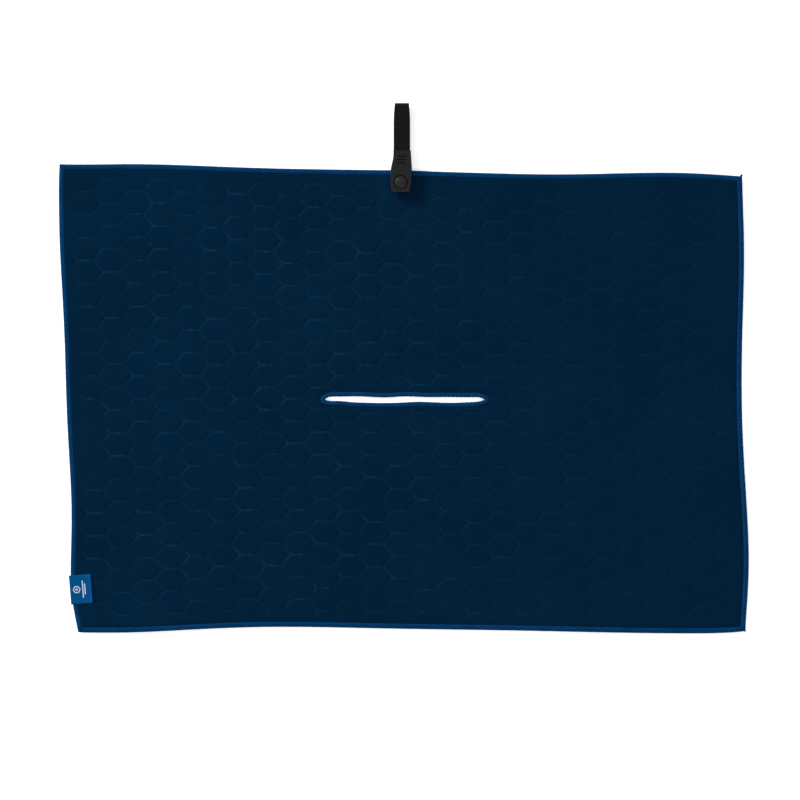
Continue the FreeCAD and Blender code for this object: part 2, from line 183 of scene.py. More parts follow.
# Camera
FIELD_W = 892 * MM  # what the picture spans
LENS, SENSOR = 85.0, 36.0
VIEW_OFF_SLOT = Vector((-5.3 * MM, -0.45 * MM))  # from the slot's middle to where the camera looks


# --- Reading the CAD ---
def cad_points(name):
    """The points of a CAD node."""
    mesh = frame["nodes"][name].data
    points = np.zeros(len(mesh.vertices) * 3)
    mesh.vertices.foreach_get("co", points)
    return points.reshape(-1, 3)


def cad_edges(name):
    """The edges of a CAD node, as pairs of point numbers."""
    mesh = frame["nodes"][name].data
    edges = np.zeros(len(mesh.edges) * 2, int)
    mesh.edges.foreach_get("vertices", edges)
    return edges.reshape(-1, 2)


def farthest(names, way):
    """The plan point of the nodes that lies farthest in a direction."""
    points = np.concatenate([cad_points(name) for name in names])[:, :2]
    return Vector(points[np.argmax(points @ np.array(way))])


def reach(names, axis, at, way):
    """How far the nodes reach towards way, on the line where coordinate axis equals at."""
    other, best = 1 - axis, []
    for name in names:
        points, edges = cad_points(name), cad_edges(name)
        a, b = points[edges[:, 0]], points[edges[:, 1]]
        before, after = a[:, axis] - at, b[:, axis] - at
        hit = (before * after <= 0) & (np.abs(before - after) > TINY)
        a, b, before, after = a[hit], b[hit], before[hit], after[hit]
        best.append(way * (a[:, other] + (b[:, other] - a[:, other]) * before / (before - after)))
    return way * np.concatenate(best).max()


def smooth_side(names, axis, low, high, way):
    """A smooth function through the outer edge of the nodes."""
    margin = (high - low) * SIDE_MARGIN
    at = np.linspace(low + margin, high - margin, SIDE_STATIONS)
    return np.polynomial.Chebyshev.fit(at, [reach(names, axis, x, way) for x in at], SIDE_DEGREE)


TOP, BOTTOM = ["overlock_top"], ["overlock_bottom"]
LEFT = ["overlock_left_upper", "overlock_left_lower"]
RIGHT = ["overlock_right_upper", "overlock_right_lower"]
TL, TR = farthest(TOP, (-1, 1)), farthest(TOP, (1, 1))
BL, BR = farthest(BOTTOM, (-1, -1)), farthest(BOTTOM, (1, -1))
top_y = smooth_side(TOP, 0, TL.x, TR.x, 1)
bottom_y = smooth_side(BOTTOM, 0, BL.x, BR.x, -1)
left_x = smooth_side(LEFT, 1, BL.y, TL.y, -1)
right_x = smooth_side(RIGHT, 1, BR.y, TR.y, 1)

SLOT_HEM_LOW, SLOT_HEM_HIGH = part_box("slot_overlock_upper")
SLOT_HEM_W = 4.8 * MM
TIP_LEFT, TIP_RIGHT = SLOT_HEM_LOW.x + SLOT_HEM_W, SLOT_HEM_HIGH.x - SLOT_HEM_W
SLOT_LIPS = {1: "slot_overlock_upper", -1: "slot_overlock_lower"}
SLOT_MIDDLE_X = (TIP_LEFT + TIP_RIGHT) / 2
LIP_TURN = np.linspace(0, math.pi, LIP_STATIONS)
LIP_AT = SLOT_MIDDLE_X - (TIP_RIGHT - TIP_LEFT) / 2 * LIP_SHARE * np.cos(LIP_TURN)
LIPS = {way: np.array([way * (reach([node], 0, x, way) - FOLD_Y) for x in LIP_AT]) - SLOT_HEM_W
        for way, node in SLOT_LIPS.items()}


# --- Small helpers ---
def smooth(t):
    """Eases from 0 to 1 as t goes from 0 to 1."""
    t = np.clip(t, 0, 1)
    return t * t * (3 - 2 * t)


def fade(distance, near, far):
    """1 up to near, 0 from far on."""
    return 1 - smooth((np.asarray(distance) - near) / (far - near))


def mesh_piece(name, points, faces, material, uvs, marks=None):
    """A smooth closed mesh, its faces outwards. uvs are per point, and so are the named marks."""
    mesh = bpy.data.meshes.new(name)
    mesh.from_pydata([tuple(p) for p in points], [], [tuple(int(i) for i in f) for f in faces])
    mesh.polygons.foreach_set("use_smooth", [True] * len(mesh.polygons))
    for mark, values in (marks or {}).items():
        mesh.attributes.new(mark, "FLOAT", "POINT").data.foreach_set("value", np.asarray(values, float))
    corners = np.zeros(len(mesh.loops), int)
    mesh.loops.foreach_get("vertex_index", corners)
    layer = mesh.uv_layers.new(name="along")
    layer.data.foreach_set("uv", np.asarray(uvs, float)[corners].ravel())
    mesh.update()
    shell = bmesh.new()
    shell.from_mesh(mesh)
    bmesh.ops.recalc_face_normals(shell, faces=shell.faces)
    shell.to_mesh(mesh)
    shell.free()
    mesh.materials.append(material)
    piece = bpy.data.objects.new(name, mesh)
    bpy.context.scene.collection.objects.link(piece)
    return piece


def tube_faces(rings, around, closed):
    """Faces of a grid of rings; a closed one joins up, an open one gets end caps."""
    faces = []
    for i in range(rings if closed else rings - 1):
        for j in range(around):
            a, b = i * around, ((i + 1) % rings) * around
            k = (j + 1) % around
            faces.append((a + j, a + k, b + k, b + j))
    if not closed:
        faces.append(tuple(range(around)))
        faces.append(tuple(reversed(range((rings - 1) * around, rings * around))))
    return faces


# --- How the cloth lies ---
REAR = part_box("strap_rear_leg")
STRAP_X = (REAR[0].x + REAR[1].x) / 2
LABEL_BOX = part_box("woven_label")
LABEL_MIDDLE = (LABEL_BOX[0] + LABEL_BOX[1]) / 2

# What lifts the cloth off the table
STRAP_LIFT, STRAP_LIFT_ACROSS, STRAP_LIFT_ALONG = 1.8 * MM, (10 * MM, 30 * MM), (-1 * MM, 22 * MM)
LABEL_LIFT, LABEL_LIFT_FADE = 0.35 * MM, (17 * MM, 26 * MM)
EDGE_WAVE, EDGE_WAVE_REACH, BILLOW = 2.1 * MM, 70 * MM, 1.1 * MM
CALM_STRAP, CALM_FOLD = (45 * MM, 120 * MM), 110 * MM  # the waves keep clear of the strap and fold
CORNER_LIFTS = ((TL, 2.4 * MM, 60 * MM), (TR, 1.2 * MM, 50 * MM),
                (BL, 0.8 * MM, 45 * MM), (BR, 2.6 * MM, 70 * MM))  # a height and how far it reaches


def laid(x, y):
    """Plan points of flat-cloth points: each half fills the space between its sides and the fold."""
    x, y = np.asarray(x, float), np.asarray(y, float)
    u, q = x / CLOTH_W + 0.5, np.abs(y) / (CLOTH_L / 2)
    upper = y >= 0
    left_corner_x, left_corner_y = np.where(upper, TL.x, BL.x), np.where(upper, TL.y, BL.y)
    right_corner_x, right_corner_y = np.where(upper, TR.x, BR.x), np.where(upper, TR.y, BR.y)
    far_x = left_corner_x + u * (right_corner_x - left_corner_x)
    far_y = np.where(upper, top_y(far_x), bottom_y(far_x))
    left_y = FOLD_Y + q * (left_corner_y - FOLD_Y)
    right_y = FOLD_Y + q * (right_corner_y - FOLD_Y)
    plan_x = (1 - u) * left_x(left_y) + u * right_x(right_y)
    plan_y = ((1 - q) * FOLD_Y + q * far_y + (1 - u) * left_y + u * right_y
              - (1 - q) * FOLD_Y - q * ((1 - u) * left_corner_y + u * right_corner_y))
    return plan_x, plan_y


def on_label(x, y):
    """Plan points in the label's own directions: across from its middle, and up."""
    across, up = x - LABEL_MIDDLE.x, y - LABEL_MIDDLE.y
    c, s = math.cos(LABEL_TURN), math.sin(LABEL_TURN)
    return c * across + s * up, -s * across + c * up


def drape(x, y):
    """Height of the cloth's underside at a plan point."""
    x, y = np.asarray(x, float), np.asarray(y, float)
    over_strap = fade(np.abs(x - STRAP_X), *STRAP_LIFT_ACROSS) * fade(REAR[0].y - y, *STRAP_LIFT_ALONG)
    across, up = on_label(x, y)
    over_label = fade(np.maximum(np.abs(across), np.abs(up)), *LABEL_LIFT_FADE)
    edge = np.minimum.reduce([x - left_x(y), right_x(y) - x, top_y(x) - y, y - bottom_y(x)])
    near_edge = fade(edge, 0, EDGE_WAVE_REACH)
    off_strap = 1 - fade(np.hypot(x - STRAP_X, y - REAR[0].y), *CALM_STRAP)
    off_fold = smooth(np.abs(y - FOLD_Y) / CALM_FOLD)
    # crossed waves: the numbers with x and y are radians in a metre
    ripple = 0.5 + 0.5 * np.sin(x * 21 + 0.9 + 1.7 * np.sin(y * 9)) * np.cos(y * 17 + x * 5)
    billow = 0.5 + 0.5 * np.sin(x * 11 - y * 7 + 0.4) * np.sin(y * 13 + 1.1)
    lift = (EDGE_WAVE * near_edge * ripple + BILLOW * billow) * off_strap * off_fold
    for corner, height, size in CORNER_LIFTS:
        lift = lift + height * fade(np.hypot(x - corner.x, y - corner.y), 0, size)
    return STRAP_LIFT * over_strap + LABEL_LIFT * over_label + lift


# --- Cloth ---
def hexagon_ring(inset):
    """Points round one cell, in order, inset from its edge."""
    half_h = CELL_PITCH_Y / 2
    scale = 1 - inset / half_h
    wide, flat = (CELL_PITCH_X - CELL_FLAT / 2) * scale, CELL_FLAT / 2 * scale
    half_h *= scale
    corners = [(wide, 0), (flat, half_h), (-flat, half_h), (-wide, 0), (-flat, -half_h), (flat, -half_h)]
    points = []
    for (ax, ay), (bx, by) in zip(corners, corners[1:] + corners[:1]):
        for i in range(CELL_SIDE_POINTS):
            t = i / CELL_SIDE_POINTS
            points.append((ax + (bx - ax) * t, ay + (by - ay) * t))
    return points


def hexagon_highlight_strengths():
    """How strongly the painted line highlight shows at each point of hexagon_ring, brighter on the edges
    that face the upper-left light.
    """
    ends = [LINE_LEFT, LINE_RIGHT] * 3
    strengths = []
    for side, (here, there) in enumerate(zip(ends, ends[1:] + ends[:1])):
        strengths.append(here)
        for i in range(1, CELL_SIDE_POINTS):
            slanted = here + (there - here) * i / CELL_SIDE_POINTS
            strengths.append(LINE_FLAT if side in (1, 4) else slanted)
    return strengths


def honeycomb():
    """Flat mesh of embossed cells that covers the cloth, as a bmesh with its relief in z."""
    sheet = bmesh.new()
    line = sheet.verts.layers.float.new("line")
    strengths = hexagon_highlight_strengths()
    columns = int(CLOTH_W / CELL_PITCH_X / 2) + 2
    rows = int(CLOTH_L / CELL_PITCH_Y / 2) + 2
    rings = [hexagon_ring(inset * MM) for inset in CELL_RINGS]
    around = len(rings[0])
    first_x = CELL_PHASE.x % CELL_PITCH_X
    first_column = round((CELL_PHASE.x - first_x) / CELL_PITCH_X)
    for column in range(-columns, columns + 1):
        x = first_x + column * CELL_PITCH_X
        odd = (column - first_column) % 2
        first_y = (CELL_PHASE.y - CELL_PITCH_Y / 2) % CELL_PITCH_Y + odd * CELL_PITCH_Y / 2
        for row in range(-rows, rows + 1):
            y = first_y + row * CELL_PITCH_Y
            levels = [[sheet.verts.new((x + dx, y + dy, CELL_RELIEF[level] * MM)) for dx, dy in ring]
                      for level, ring in enumerate(rings)]
            for level in levels[:2]:
                for vert, strength in zip(level, strengths):
                    vert[line] = strength
            middle = sheet.verts.new((x, y, CELL_RELIEF[-1] * MM))
            for outer, inner in zip(levels, levels[1:]):
                for j in range(around):
                    k = (j + 1) % around
                    sheet.faces.new((outer[j], outer[k], inner[k], inner[j]))
            for j in range(around):
                sheet.faces.new((levels[-1][j], levels[-1][(j + 1) % around], middle))
    bmesh.ops.remove_doubles(sheet, verts=sheet.verts, dist=WELD)
    return sheet


def cut_line(sheet, point, normal, drop=False):
    """Cuts the flat cloth along a line, and can drop what is beyond it."""
    everything = sheet.verts[:] + sheet.edges[:] + sheet.faces[:]
    bmesh.ops.bisect_plane(sheet, geom=everything, dist=CUT_SNAP,
                           plane_co=point, plane_no=normal, clear_outer=drop)


def flat_x_of_plan(x):
    """Flat-cloth x of a plan x on the fold line."""
    fold_left, fold_right = left_x(FOLD_Y), right_x(FOLD_Y)
    return ((x - fold_left) / (fold_right - fold_left) - 0.5) * CLOTH_W


def cut_cloth():
    """The flat cloth cut to size, with rows of points for its roll into the hem, the fold and the slit.

    Gives the points with their relief in z, how strongly the painted line highlight shows at each, which
    half each belongs to, the faces, and the edges that the mesh ends at.
    """
    sheet = honeycomb()
    half_w, half_l = CLOTH_W / 2 - CUT_TUCK, CLOTH_L / 2 - CUT_TUCK
    for point, normal in (((half_w, 0, 0), (1, 0, 0)), ((-half_w, 0, 0), (-1, 0, 0)),
                          ((0, half_l, 0), (0, 1, 0)), ((0, -half_l, 0), (0, -1, 0))):
        cut_line(sheet, point, normal, drop=True)
    for inset in ROLL_ROWS:
        for sign in (-1, 1):
            cut_line(sheet, (sign * (half_w - inset * MM), 0, 0), (1, 0, 0))
            cut_line(sheet, (0, sign * (half_l - inset * MM), 0), (0, 1, 0))
    cut_line(sheet, (0, 0, 0), (0, 1, 0))
    for row in FOLD_ROWS:
        cut_line(sheet, (0, row * MM, 0), (0, 1, 0))
    tips = [flat_x_of_plan(TIP_LEFT - SLIT_PAST_TIP), flat_x_of_plan(TIP_RIGHT + SLIT_PAST_TIP)]
    for tip in tips:
        cut_line(sheet, (tip, 0, 0), (1, 0, 0))
    slit = [e for e in sheet.edges if all(abs(v.co.y) < ON_LINE for v in e.verts)
            and tips[0] < (e.verts[0].co.x + e.verts[1].co.x) / 2 < tips[1]]
    bmesh.ops.split_edges(sheet, edges=slit)
    sheet.verts.index_update()
    line = sheet.verts.layers.float["line"]
    flat = np.array([v.co for v in sheet.verts])
    strength = np.array([v[line] for v in sheet.verts])
    half = np.array([np.sign(sum(f.calc_center_median().y for f in v.link_faces)) for v in sheet.verts])
    faces = [[v.index for v in f.verts] for f in sheet.faces]
    rims = [(e.verts[0].index, e.verts[1].index) for e in sheet.edges if len(e.link_faces) == 1]
    sheet.free()
    return flat, strength, half, faces, rims


def cloth():
    """The cloth as it lies: its embossed top, its underside and the cut edges between them."""
    flat, strength, half, faces, rims = cut_cloth()
    edge = np.minimum(CLOTH_W / 2 - np.abs(flat[:, 0]), CLOTH_L / 2 - np.abs(flat[:, 1]))
    near_hem = fade(edge, LINE_HEM_NEAR, LINE_HEM_FAR)
    relief = flat[:, 2] * (1 - RELIEF_LOST * near_hem)
    x, y = laid(flat[:, 0], flat[:, 1])
    past_tip = np.maximum(TIP_LEFT - x, x - TIP_RIGHT)

    # the slot's lips are pushed apart, and the cloth near them moves with them
    inside = (x > TIP_LEFT - LIP_TUCK) & (x < TIP_RIGHT + LIP_TUCK)
    lean = fade(np.abs(y - FOLD_Y), *LIP_LEAN) * inside
    at = np.clip(x, TIP_LEFT, TIP_RIGHT)
    open_by = np.where(half > 0, slot_lip(at, 1) + LIP_TUCK, slot_lip(at, -1) - LIP_TUCK)
    y = y + open_by * lean * fade(past_tip, LIP_ENDS, LIP_TUCK)

    # it is squeezed under the stitches, and swells beside them
    off_slot = np.hypot(np.maximum(past_tip, 0), np.maximum(np.abs(y - FOLD_Y) - SLOT_HALF, 0))
    squeeze = np.maximum(fade(edge, *EDGE_SQUEEZE), fade(off_slot, *SLOT_SQUEEZE))
    swell = np.maximum(fade(np.abs(edge - EDGE_SWELL_AT), 0, EDGE_SWELL_REACH),
                       fade(np.abs(off_slot - SLOT_SWELL_AT), 0, SLOT_SWELL_REACH))
    free = 1 - squeeze
    lies_at = drape(x, y)
    loft = RANDOM.normal(0, LOFT_SPREAD, len(x))
    top = lies_at + CLOTH_TOP + relief * free - TOP_PRESSED * squeeze + SWELL * swell + loft
    under = lies_at + UNDER_GAP - UNDER_RELIEF * np.minimum(relief, 0) * free + UNDER_PRESSED * squeeze

    count = len(x)
    points = np.concatenate([np.stack([x, y, top], 1), np.stack([x, y, under], 1)])
    all_faces = faces + [[i + count for i in reversed(f)] for f in faces]
    all_faces += [(a, b, b + count, a + count) for a, b in rims]
    # painted highlight along the embossed lines, none under the stitches or near the hem
    pressed_line_highlight = strength * free * (1 - near_hem)
    pressed_line_highlight *= 1 - LINE_FADE * smooth((flat[:, 0] - LINE_FADE_FROM) / LINE_FADE_OVER)
    uvs = np.stack([np.tile(flat[:, 0], 2), np.tile(flat[:, 1], 2)], 1) / MM
    marks = {"pressed_line_highlight": np.tile(pressed_line_highlight, 2)}
    return mesh_piece("towel_cloth", points, all_faces, microfibre(), uvs, marks)


def slot_lip(x, way):
    """How far a lip of the slot stands from the fold line, up or down."""
    return way * np.maximum(np.interp(x, LIP_AT, LIPS[way]), 0)


# --- Overlock ---
# The band's section, wrapped round the cloth's edge: how far in from the outside, and height, in mm
BAND_SECTION_W = 5.2
BAND_SECTION = [(5.2, 0.95), (4.9, 0.35), (3.6, 0.08), (1.8, 0.06), (0.5, 0.35), (0.05, 1.2),
                (0.35, 1.75), (1.1, 2.18), (2.5, 2.46), (3.9, 2.4), (4.9, 2.1), (5.2, 1.5)]


def stitch_run(path, inset):
    """How far along a closed path each station is, and the pitch that fits a whole number of stitches."""
    x, y = path(inset)
    steps = np.hypot(np.diff(x, append=x[0]), np.diff(y, append=y[0]))
    total = steps.sum()
    return np.concatenate([[0], np.cumsum(steps)[:-1]]), total / round(total / STITCH_PITCH)


def band(name, path, width, counted_at):
    """A closed band of slanted stitches, counted along one inset of its path.

    path(inset) gives the plan points of all its stations.
    """
    length_at, pitch = stitch_run(path, counted_at)
    section = np.array(BAND_SECTION) * [width / BAND_SECTION_W, MM]
    slope = np.roll(section, -1, 0) - np.roll(section, 1, 0)
    normal = np.stack([slope[:, 1], -slope[:, 0]], 1)
    normal /= np.linalg.norm(normal, axis=1)[:, None]
    if normal[np.argmax(section[:, 1]), 1] < 0:
        normal = -normal
    around = len(section)
    rings = []
    marks = []
    uvs = []
    for j, (d, z) in enumerate(section):
        phase = (length_at + STITCH_SLANT * d) / pitch
        ridge = np.abs(np.sin(math.pi * phase)) ** RIDGE_ROUND
        # no two stitches stand out alike
        uneven = 1 + 0.25 * np.sin(phase * 1.9) + 0.2 * np.sin(phase * 0.73 + 1)
        proud = STITCH_PROUD * (ridge - RIDGE_REST) * uneven
        x, y = path(d + normal[j, 0] * proud)
        height = np.maximum(drape(*path(max(d, 0.1 * MM))) + z + normal[j, 1] * proud, BAND_LOWEST)
        rings.append(np.stack([x, y, height], 1))
        # the shader paints shade where this is low, in the dips between stitches
        marks.append(ridge)
        across = d / MM + (BAND_UNDER_UV if z < BAND_UNDER_Z else 0)
        uvs.append(np.stack([phase, np.full(len(x), across)], 1))
    points = np.stack(rings, 1).reshape(-1, 3)
    stations = len(rings[0])
    return mesh_piece(name, points, tube_faces(stations, around, True), hem_thread(),
                      np.stack(uvs, 1).reshape(-1, 2), {"ridge": np.stack(marks, 1).ravel()})


def outer_path():
    """The path round the towel, anticlockwise from the bottom left, as a function of the inset."""
    stations = []
    for side, size in enumerate((CLOTH_W, CLOTH_L, CLOTH_W, CLOTH_L)):
        count = round(size * STITCH_STEPS / STITCH_PITCH)
        stations += [(side, i / count, 0.0) for i in range(count)]
        stations += [(side, 1.0, (i + 0.5) / CORNER_STEPS) for i in range(CORNER_STEPS)]
    side = np.array([s[0] for s in stations])
    along = np.array([s[1] for s in stations])
    turn = np.array([s[2] for s in stations]) * math.pi / 2

    def path(inset):
        inset = np.asarray(inset) * np.ones(len(side))
        radius = np.maximum(CORNER_R - inset, LEAST_R)
        half_w, half_l = CLOTH_W / 2 - inset, CLOTH_L / 2 - inset
        run = np.where(side % 2 == 0, half_w, half_l) - radius
        out = np.where(side % 2 == 0, half_l, half_w)
        # on a side's own axes: forward along it, and outwards from the middle of the towel
        forward = -run + 2 * run * along + radius * np.sin(turn)
        outwards = out - radius + radius * np.cos(turn)
        x = np.select([side == 0, side == 1, side == 2, side == 3], [forward, outwards, -forward, -outwards])
        y = np.select([side == 0, side == 1, side == 2, side == 3], [-outwards, forward, outwards, -forward])
        return laid(x, y)

    return path


def slot_path():
    """The path round the slot, as a function of the distance outside its lips."""
    angles = (np.arange(TIP_STEPS) + 0.5) / TIP_STEPS * math.pi
    dense = TIP_LEFT + (TIP_RIGHT - TIP_LEFT) * (0.5 - 0.5 * np.cos(np.linspace(0, math.pi, SLOT_DENSE)))
    lean = np.hypot(np.gradient(dense), np.gradient(slot_lip(dense, 1)))
    gone = np.cumsum(lean)
    count = round((TIP_RIGHT - TIP_LEFT) / (STITCH_PITCH / STITCH_STEPS))
    run = np.interp(np.linspace(gone[0], gone[-1], count), gone, dense)

    def path(inset):
        # the section counts from its outside, which for a slot is the lip
        grow = np.broadcast_to(np.asarray(inset), (2 * (count + TIP_STEPS),)).copy()
        a, b, c = count, count + TIP_STEPS, 2 * count + TIP_STEPS
        x = np.concatenate([run[::-1], TIP_LEFT - np.sin(angles) * grow[a:b],
                            run, TIP_RIGHT + np.sin(angles) * grow[c:]])
        y = np.concatenate([slot_lip(run[::-1], 1) + grow[:a], np.cos(angles) * grow[a:b],
                            slot_lip(run, -1) - grow[b:c], -np.cos(angles) * grow[c:]])
        return x, y + FOLD_Y

    return path


def overlock():
    """The stitched bands round the outside and round the slot."""
    outside = band("overlock_edge", outer_path(), HEM_W, 0.0)
    inside = band("overlock_slot", slot_path(), SLOT_HEM_W, SLOT_HEM_W / 2)
    return outside, inside


def chain_tail(name, corner, heading, back, reach_out):
    """The short tail of chained thread that an overlock leaves at a corner, from a little way back."""
    points = []
    forward = Vector(heading).normalized()
    aside = Vector((-forward.y, forward.x))
    inward = Vector((-math.copysign(1, corner.x), -math.copysign(1, corner.y))) * TAIL_INWARD
    for i in range(TAIL_RINGS):
        t = i / (TAIL_RINGS - 1)
        centre = Vector((corner.x, corner.y)) + inward + forward * (reach_out * t - back)
        centre += aside * TAIL_SWAY * math.sin(t * 4)
        radius = (TAIL_R_START - TAIL_TAPER * t) * (TAIL_THIN + TAIL_LUMP * abs(math.sin(t * TAIL_LUMPS)))
        if i in (0, TAIL_RINGS - 1):
            radius *= TAIL_TIP
        height = float(drape(corner.x, corner.y)) * (1 - t) + TAIL_Z
        for j in range(TAIL_AROUND):
            a = 2 * math.pi * j / TAIL_AROUND
            side = aside * math.cos(a) * radius
            points.append((centre.x + side.x, centre.y + side.y, height + math.sin(a) * radius))
    uvs = [(i // TAIL_AROUND, 0) for i in range(len(points))]
    marks = {"ridge": [TAIL_RIDGE] * len(points)}
    return mesh_piece(name, points, tube_faces(TAIL_RINGS, TAIL_AROUND, False), hem_thread(), uvs, marks)


# --- Webbing ---
def webbing():
    """The strap as one run of ribbed webbing: rear leg, half turn, front leg."""
    low, high = REAR
    front_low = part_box("strap_front_leg")[0]
    turn = JOINTS["strap_open"]
    thick = high.z - low.z
    radius = turn.z - (low.z + thick / 2)
    rear_run, front_run = turn.y - low.y, turn.y - front_low.y
    total = rear_run + math.pi * radius + front_run
    stations = round(total / (RIB_PITCH / RIB_STEPS))
    half_w = (high.x - low.x) / 2
    section = WEB_UNDERSIDE + [(-across, -through) for across, through in WEB_UNDERSIDE]
    turn_end = rear_run + math.pi * radius
    turn_middle = rear_run + math.pi * radius / 2
    points, uvs, marks = [], [], []
    for i in range(stations + 1):
        s = total * i / stations
        if s < rear_run:
            y, z, ny, nz = low.y + s, turn.z - radius, 0, -1
        elif s < turn_end:
            a = (s - rear_run) / radius
            ny, nz = math.sin(a), -math.cos(a)
            y, z = turn.y + radius * ny, turn.z + radius * nz
        else:
            y, z, ny, nz = turn.y - (s - turn_end), turn.z + radius, 0, 1
        rib = math.sin(math.pi * s / RIB_PITCH) ** 2
        narrow = 1 - TURN_NARROW * math.exp(-((s - turn_middle) / TURN_NARROW_REACH) ** 2)
        for across, through in section:
            edge = SELVEDGE_WAVE * (rib - 0.5) if abs(across) > SELVEDGE else 0
            proud = through * (thick / 2 + RIB_PROUD * (rib - RIB_REST) * (1 - abs(across) ** 6))
            x = STRAP_X + across * half_w * narrow + math.copysign(edge, across)
            points.append((x, y + ny * proud, z + nz * proud))
            uvs.append((s / RIB_PITCH, across * half_w / MM))
            # the shader paints shade where this is low, between the ribs
            marks.append(rib)
    faces = tube_faces(stations + 1, len(section), False)
    piece = mesh_piece("strap_webbing", points, faces, ribbed_nylon(), uvs, {"ridge": marks})
    return piece, high.z, front_low.z


# --- Label ---
def label_top(across, up):
    """Height of the middle of the label's top layer: it lies on the hem and lifts at its open end."""
    rest = HEM_TOP + LABEL_LIFT + LABEL_T / 2 + LABEL_ON_HEM
    t = (across + LABEL_W / 2) / LABEL_W
    curl = CURL_MIDDLE + (1 - CURL_MIDDLE) * (2 * up / LABEL_H) ** 2
    return rest - LABEL_SAG * smooth((t - 0.3) / 0.3) + LABEL_CURL * smooth((t - 0.72) / 0.3) * curl


def from_label(across, up, z):
    """The point of the scene at a place on the label and a height over flat cloth."""
    c, s = math.cos(LABEL_TURN), math.sin(LABEL_TURN)
    x = LABEL_MIDDLE.x + c * across - s * up
    y = LABEL_MIDDLE.y + s * across + c * up
    return (x, y, z + float(drape(x, y)) - LABEL_LIFT)


def stop_height(stop, up):
    """Height at a stop of the label's route; one with no height of its own is on the top layer."""
    across, height = stop
    return float(label_top(across, up)) if height is None else height


def label():
    """Woven label folded round the edge: under, round the fold, and over."""
    left, right = -LABEL_W / 2, LABEL_W / 2
    fold_at = left + LABEL_FOLD_R
    top_z = float(label_top(fold_at, 0))
    middle_z, rise = (LABEL_UNDER_Z + top_z) / 2, (top_z - LABEL_UNDER_Z) / 2
    under, round_fold, over = LABEL_STOPS
    route = [(a, LABEL_UNDER_Z) for a in np.linspace(right - LABEL_UNDER_SHORT, fold_at, under)]
    route += [(fold_at - math.sin(a) * LABEL_FOLD_R, middle_z - math.cos(a) * rise)
              for a in np.linspace(0, math.pi, round_fold)[1:-1]]
    route += [(a, None) for a in np.linspace(fold_at, right, over)]
    rows = LABEL_ROWS
    points, uvs = [], []
    for side in (-1, 1):
        for i, stop in enumerate(route):
            before, after = route[max(i - 1, 0)], route[min(i + 1, len(route) - 1)]
            for j in range(rows):
                up = (j / (rows - 1) - 0.5) * LABEL_H
                run = after[0] - before[0]
                climb = stop_height(after, up) - stop_height(before, up)
                size = math.hypot(run, climb)
                out = side * LABEL_T / 2
                points.append(from_label(stop[0] - out * climb / size, up,
                                         stop_height(stop, up) + out * run / size))
                uvs.append((stop[0] / MM, up / MM))
    count, n = len(route) * rows, len(route)
    faces = []
    for i in range(n - 1):
        for j in range(rows - 1):
            quad = (i * rows + j, i * rows + j + 1, (i + 1) * rows + j + 1, (i + 1) * rows + j)
            faces += [quad, tuple(count + k for k in reversed(quad))]
    for i in range(n - 1):
        for j in (0, rows - 1):
            a, b = i * rows + j, (i + 1) * rows + j
            faces.append((a, b, count + b, count + a))
    for i in (0, n - 1):
        for j in range(rows - 1):
            a, b = i * rows + j, i * rows + j + 1
            faces.append((a, b, count + b, count + a))
    return mesh_piece("woven_label_cloth", points, faces, label_satin(), uvs)


def raised_shape(name, outlines, material, proud=0.1 * MM):
    """Flat woven shapes that stand just proud of the label's face: each an outline or a ring of quads."""
    points, faces = [], []
    for outline in outlines:
        start = len(points)
        for level in (-0.5, 1.0):
            for across, up in outline:
                height = float(label_top(across, up)) + LABEL_T / 2 + proud * level
                points.append(from_label(across, up, height))
        n = len(outline)
        faces.append([start + n + i for i in range(n)])
        faces.append([start + i for i in reversed(range(n))])
        for i in range(n):
            k = (i + 1) % n
            faces.append((start + i, start + k, start + n + k, start + n + i))
    piece = mesh_piece(name, points, faces, material, [(p[0] / MM, p[1] / MM) for p in points])
    piece.data.polygons.foreach_set("use_smooth", [False] * len(piece.data.polygons))
    return piece


def motif():
    """A plain mark: a hexagon ring with a dot in it, and two bars."""
    centre_x, ring_out, ring_in, dot_r = -4.6 * MM, 4.3 * MM, 3.2 * MM, 1.2 * MM
    dot_sides, bar_half_w, bar_steps = 16, 0.55 * MM, 8
    bars = ((2.2 * MM, 9.5 * MM), (4.6 * MM, 6.0 * MM))  # place across the label, and half length
    outlines = []
    for i in range(6):
        a, b = math.pi / 3 * i, math.pi / 3 * (i + 1)
        quad = [(ring_out, a), (ring_out, b), (ring_in, b), (ring_in, a)]
        outlines.append([(centre_x + r * math.cos(t), r * math.sin(t)) for r, t in quad])
    outlines.append([(centre_x + dot_r * math.cos(t), dot_r * math.sin(t))
                     for t in np.linspace(0, 2 * math.pi, dot_sides + 1)[:-1]])
    for across, half in bars:
        left, right = across - bar_half_w, across + bar_half_w
        for i in range(bar_steps):
            low = -half + 2 * half * i / bar_steps
            high = -half + 2 * half * (i + 1) / bar_steps
            outlines.append([(left, low), (right, low), (right, high), (left, high)])
    return raised_shape("label_motif", outlines, motif_thread())


def label_seam():
    """The row of stitches down the label's open end."""
    count, pitch, length, width, height = 9, 3.1 * MM, 2.1 * MM, 0.5 * MM, 0.32 * MM
    from_end, proud, blunt = 1.7 * MM, 0.05 * MM, 0.02
    rows, around = 7, 6
    across = LABEL_W / 2 - from_end
    points, faces = [], []
    for s in range(count):
        start = len(points)
        middle = (s - (count - 1) / 2) * pitch
        for i in range(rows):
            t = i / (rows - 1)
            up = middle + (t - 0.5) * length
            swell = math.sqrt(max(1 - (2 * t - 1) ** 2, blunt))
            base = float(label_top(across, up)) + LABEL_T / 2
            for j in range(around):
                a = 2 * math.pi * j / around
                points.append(from_label(across + math.cos(a) * width / 2 * swell, up,
                                         base + proud + math.sin(a) * height / 2 * swell))
        faces += [tuple(start + k for k in f) for f in tube_faces(rows, around, False)]
    uvs = [(p[0] / MM, p[1] / MM) for p in points]
    return mesh_piece("label_seam", points, faces, label_thread(), uvs)


